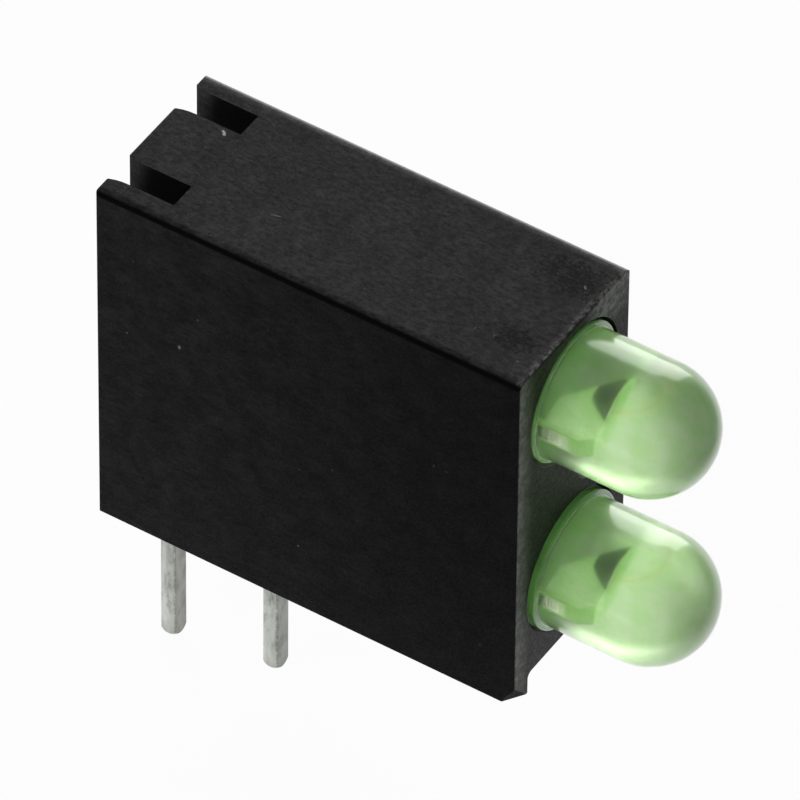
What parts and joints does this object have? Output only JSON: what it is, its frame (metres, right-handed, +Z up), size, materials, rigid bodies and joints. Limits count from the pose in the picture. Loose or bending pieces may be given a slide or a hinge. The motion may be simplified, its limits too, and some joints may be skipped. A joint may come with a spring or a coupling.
{
  "type": "circuit board led indicator",
  "caption": "Right-angle circuit board indicator: green LEDs one above the other in a black moulded housing, with leads bent down to a square pin grid.",
  "frame": {"origin": "middle of the four-pin grid, on the surface of the circuit board", "axes": "+Z up off the board, -Y the way the LEDs look, +X to the right-hand side seen from the front, where the LEDs look; the upper LED's pins are at +Y and the lower LED's at -Y"},
  "size_m": [0.0042, 0.0136, 0.0128],
  "materials": {
    "housing": "spark-eroded black nylon",
    "lens": "glossy, diffused green epoxy",
    "lead": "dull tin dip on steel",
    "chip": "sawn semiconductor",
    "silver_epoxy": "satin silver-filled epoxy",
    "gold": "bright gold wire"
  },
  "bodies": {
    "root": {"housing": "housing", "upper_lens": "lens", "upper_cathode_lead": "lead", "upper_anode_lead": "lead", "upper_die": "chip", "upper_die_bond": "silver_epoxy", "upper_bond_wire": "gold", "lower_lens": "lens", "lower_cathode_lead": "lead", "lower_anode_lead": "lead", "lower_die": "chip", "lower_die_bond": "silver_epoxy", "lower_bond_wire": "gold"}
  },
  "joints": []
}
